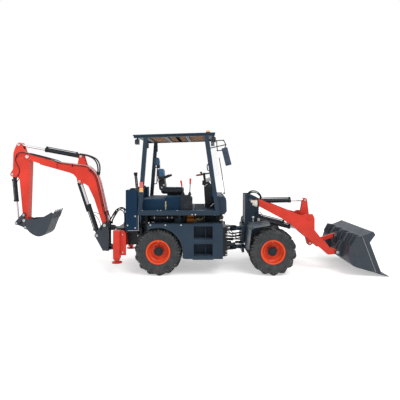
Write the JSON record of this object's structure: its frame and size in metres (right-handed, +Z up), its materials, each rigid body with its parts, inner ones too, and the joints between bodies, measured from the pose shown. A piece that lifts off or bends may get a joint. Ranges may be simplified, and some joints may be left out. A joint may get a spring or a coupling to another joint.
{
  "type": "articulated backhoe loader",
  "caption": "Articulated backhoe loader: front bucket on a Z-bar linkage, canopy with a driver's seat, and a swinging digger arm with stabilizers behind.",
  "frame": {"origin": "ground level under the middle of the whole machine's length and width, as parked", "axes": "+X forwards to the loader bucket, +Y to the machine's left, +Z up"},
  "size_m": [8.1734, 1.768, 3.0217],
  "materials": {
    "paint_red": "gloss paint, lightly dusty",
    "paint_rim": "gloss paint",
    "paint_navy": "satin paint",
    "paint_charcoal": "worn satin paint",
    "paint_black": "satin paint",
    "tyre": "matt, dusty",
    "chrome": "polished",
    "cast_iron": "matt",
    "seat_vinyl": "grained vinyl",
    "glass": "clear, faintly green",
    "red_lens": "clear red",
    "amber_lens": "clear amber",
    "lamp_white": "clear over a reflector",
    "black_plastic": "fine grain"
  },
  "bodies": {
    "rear_frame": {"rear_chassis": "paint_black", "swing_lugs": "paint_black", "engine": "cast_iron", "air_cleaner": "black_plastic", "rear_axle": "paint_black", "deck": "paint_navy", "hood": "paint_navy", "side_panels": "paint_navy", "tanks": "paint_navy", "side_console": "black_plastic", "seat": "seat_vinyl", "steering_column": "black_plastic", "dash": "paint_navy", "canopy_frame": "paint_black", "roof": "paint_navy", "windscreen": "glass", "work_lamps": "paint_charcoal", "tail_lamps": "red_lens", "mirror_right": "black_plastic", "beacon": "amber_lens", "control_levers": "black_plastic", "stabilizer_housings": "paint_red"},
    "front_frame": {"front_chassis": "paint_black", "front_axle": "paint_black", "front_fenders": "paint_charcoal", "head_lamps": "lamp_white"},
    "stabilizer_right": {"stabilizer_leg_right": "paint_red"},
    "wheel_rear_right": {"tyre_rear_right": "tyre", "rim_rear_right": "paint_rim"},
    "wheel_front_right": {"tyre_front_right": "tyre", "rim_front_right": "paint_rim"},
    "steer_barrel_right": {"steer_barrel_right": "paint_black"},
    "steer_rod_right": {"steer_rod_right": "chrome"},
    "stabilizer_left": {"stabilizer_leg_left": "paint_red"},
    "wheel_rear_left": {"tyre_rear_left": "tyre", "rim_rear_left": "paint_rim"},
    "wheel_front_left": {"tyre_front_left": "tyre", "rim_front_left": "paint_rim"},
    "steer_barrel_left": {"steer_barrel_left": "paint_black"},
    "steer_rod_left": {"steer_rod_left": "chrome"},
    "lift_arms": {"lift_arms": "paint_red"},
    "bell_crank": {"bell_crank": "paint_red"},
    "loader_link": {"loader_link": "paint_red"},
    "loader_bucket": {"loader_bucket": "paint_charcoal"},
    "lift_barrels": {"lift_barrels": "paint_black"},
    "lift_rods": {"lift_rods": "chrome"},
    "tilt_barrel": {"tilt_barrel": "paint_black"},
    "tilt_rod": {"tilt_rod": "chrome"},
    "swing_bracket": {"swing_bracket": "paint_charcoal"},
    "boom": {"boom": "paint_red"},
    "boom_barrel": {"boom_barrel": "paint_black"},
    "boom_rod": {"boom_rod": "chrome"},
    "dipper": {"dipper": "paint_red"},
    "dipper_barrel": {"dipper_barrel": "paint_black"},
    "dipper_rod": {"dipper_rod": "chrome"},
    "hoe_barrel": {"hoe_barrel": "paint_black"},
    "hoe_rod": {"hoe_rod": "chrome"},
    "guide_link": {"guide_link": "paint_charcoal"},
    "hoe_link": {"hoe_link": "paint_charcoal"},
    "hoe_bucket": {"hoe_bucket": "paint_charcoal"}
  },
  "joints": [
    {"name": "steer", "type": "hinge", "parent": "rear_frame", "child": "front_frame", "pos_m": [0.9645, 0, 0], "axis": [0, 0, 1], "range_deg": [-30, 30]},
    {"name": "wheel_rear_right_spin", "type": "hinge", "parent": "rear_frame", "child": "wheel_rear_right", "pos_m": [-0.6415, -0.67, 0.495], "axis": [0, 1, 0], "continuous": true},
    {"name": "wheel_rear_left_spin", "type": "hinge", "parent": "rear_frame", "child": "wheel_rear_left", "pos_m": [-0.6415, 0.67, 0.495], "axis": [0, 1, 0], "continuous": true},
    {"name": "wheel_front_right_spin", "type": "hinge", "parent": "front_frame", "child": "wheel_front_right", "pos_m": [1.7285, -0.67, 0.495], "axis": [0, 1, 0], "continuous": true},
    {"name": "wheel_front_left_spin", "type": "hinge", "parent": "front_frame", "child": "wheel_front_left", "pos_m": [1.7285, 0.67, 0.495], "axis": [0, 1, 0], "continuous": true},
    {"name": "lift", "type": "hinge", "parent": "front_frame", "child": "lift_arms", "pos_m": [1.4445, 0, 1.48], "axis": [0, -1, 0], "range_deg": [-4, 72]},
    {"name": "bucket_tilt", "type": "hinge", "parent": "lift_arms", "child": "loader_bucket", "pos_m": [3.1795, 0, 0.417], "axis": [0, 1, 0], "range_deg": [-45, 60]},
    {"name": "lift_barrels_turn", "type": "hinge", "parent": "front_frame", "child": "lift_barrels", "pos_m": [1.4915, 0, 1.11], "axis": [0, -1, 0], "range_deg": [-5, 73]},
    {"name": "lift_rods_slide", "type": "slide", "parent": "lift_barrels", "child": "lift_rods", "axis": [0.9705, 0, -0.241], "range_m": [-0.0284, 0.4424]},
    {"name": "bell_crank_turn", "type": "hinge", "parent": "lift_arms", "child": "bell_crank", "pos_m": [2.5825, 0, 1.142], "axis": [0, -1, 0], "range_deg": [-15, 20]},
    {"name": "loader_link_turn", "type": "hinge", "parent": "loader_bucket", "child": "loader_link", "pos_m": [3.2845, 0, 0.715], "axis": [0, -1, 0], "range_deg": [-35, 46]},
    {"name": "tilt_barrel_turn", "type": "hinge", "parent": "lift_arms", "child": "tilt_barrel", "pos_m": [1.4445, 0, 1.48], "axis": [0, -1, 0], "range_deg": [-2, 2]},
    {"name": "tilt_rod_slide", "type": "slide", "parent": "tilt_barrel", "child": "tilt_rod", "axis": [0.9997, 0, 0.0227], "range_m": [-0.1144, 0.0868]},
    {"name": "swing", "type": "hinge", "parent": "rear_frame", "child": "swing_bracket", "pos_m": [-1.7955, 0, 0], "axis": [0, 0, 1], "range_deg": [-75, 75]},
    {"name": "boom_lower", "type": "hinge", "parent": "swing_bracket", "child": "boom", "pos_m": [-1.9355, 0, 0.946], "axis": [0, -1, 0], "range_deg": [-30, 60]},
    {"name": "boom_barrel_turn", "type": "hinge", "parent": "swing_bracket", "child": "boom_barrel", "pos_m": [-2.1095, 0, 0.715], "axis": [0, -1, 0], "range_deg": [-30, 58]},
    {"name": "boom_rod_slide", "type": "slide", "parent": "boom_barrel", "child": "boom_rod", "axis": [-0.3125, 0, 0.9499], "range_m": [-0.2689, 0.1365]},
    {"name": "dipper_out", "type": "hinge", "parent": "boom", "child": "dipper", "pos_m": [-3.6835, 0, 2.488], "axis": [0, 1, 0], "range_deg": [-25, 80]},
    {"name": "dipper_barrel_turn", "type": "hinge", "parent": "boom", "child": "dipper_barrel", "pos_m": [-2.4825, 0, 2.497], "axis": [0, -1, 0], "range_deg": [-9, 4]},
    {"name": "dipper_rod_slide", "type": "slide", "parent": "dipper_barrel", "child": "dipper_rod", "axis": [-0.9828, 0, 0.1846], "range_m": [-0.4018, 0.1283]},
    {"name": "hoe_bucket_dump", "type": "hinge", "parent": "dipper", "child": "hoe_bucket", "pos_m": [-3.7385, 0, 1.055], "axis": [0, 1, 0], "range_deg": [-20, 100]},
    {"name": "guide_link_turn", "type": "hinge", "parent": "dipper", "child": "guide_link", "pos_m": [-3.7615, 0, 1.174], "axis": [0, -1, 0], "range_deg": [-71, 15]},
    {"name": "hoe_link_turn", "type": "hinge", "parent": "hoe_bucket", "child": "hoe_link", "pos_m": [-3.7065, 0, 0.902], "axis": [0, -1, 0], "range_deg": [-13, 57]},
    {"name": "hoe_barrel_turn", "type": "hinge", "parent": "dipper", "child": "hoe_barrel", "pos_m": [-4.0245, 0, 2.093], "axis": [0, -1, 0], "range_deg": [-7, 3]},
    {"name": "hoe_rod_slide", "type": "slide", "parent": "hoe_barrel", "child": "hoe_rod", "axis": [0.0884, 0, -0.9961], "range_m": [-0.2635, 0.0559]},
    {"name": "steer_barrel_right_turn", "type": "hinge", "parent": "rear_frame", "child": "steer_barrel_right", "pos_m": [0.5445, -0.33, 0.56], "axis": [0, 0, 1], "range_deg": [-11, 11]},
    {"name": "steer_rod_right_slide", "type": "slide", "parent": "steer_barrel_right", "child": "steer_rod_right", "axis": [0.9927, 0.1203, 0], "range_m": [-0.1482, 0.1482]},
    {"name": "stabilizer_right_down", "type": "slide", "parent": "rear_frame", "child": "stabilizer_right", "axis": [0, 0, -1], "range_m": [0, 0.42]},
    {"name": "steer_barrel_left_turn", "type": "hinge", "parent": "rear_frame", "child": "steer_barrel_left", "pos_m": [0.5445, 0.33, 0.56], "axis": [0, 0, 1], "range_deg": [-11, 11]},
    {"name": "steer_rod_left_slide", "type": "slide", "parent": "steer_barrel_left", "child": "steer_rod_left", "axis": [0.9927, -0.1203, 0], "range_m": [-0.1482, 0.1482]},
    {"name": "stabilizer_left_down", "type": "slide", "parent": "rear_frame", "child": "stabilizer_left", "axis": [0, 0, -1], "range_m": [0, 0.42]}
  ],
  "couplings": [
    {"joint": "lift_barrels_turn", "follows": "lift", "ratio": 0.9591},
    {"joint": "lift_rods_slide", "follows": "lift", "m_per_rad": 0.3489},
    {"joint": "bell_crank_turn", "follows": "bucket_tilt", "ratio": 0.2929},
    {"joint": "loader_link_turn", "follows": "bucket_tilt", "ratio": 0.7277},
    {"joint": "tilt_barrel_turn", "follows": "bucket_tilt", "ratio": 0.00059},
    {"joint": "tilt_rod_slide", "follows": "bucket_tilt", "m_per_rad": -0.10539},
    {"joint": "boom_barrel_turn", "follows": "boom_lower", "ratio": 0.9192},
    {"joint": "boom_rod_slide", "follows": "boom_lower", "m_per_rad": -0.253},
    {"joint": "dipper_barrel_turn", "follows": "dipper_out", "ratio": -0.09},
    {"joint": "dipper_rod_slide", "follows": "dipper_out", "m_per_rad": -0.2849},
    {"joint": "guide_link_turn", "follows": "hoe_bucket_dump", "ratio": -0.6736},
    {"joint": "hoe_link_turn", "follows": "hoe_bucket_dump", "ratio": 0.536},
    {"joint": "hoe_barrel_turn", "follows": "hoe_bucket_dump", "ratio": -0.0491},
    {"joint": "hoe_rod_slide", "follows": "hoe_bucket_dump", "m_per_rad": -0.1487},
    {"joint": "steer_barrel_right_turn", "follows": "steer", "ratio": 0.3153},
    {"joint": "steer_rod_right_slide", "follows": "steer", "m_per_rad": 0.2754},
    {"joint": "steer_barrel_left_turn", "follows": "steer", "ratio": 0.3153},
    {"joint": "steer_rod_left_slide", "follows": "steer", "m_per_rad": -0.2754}
  ]
}
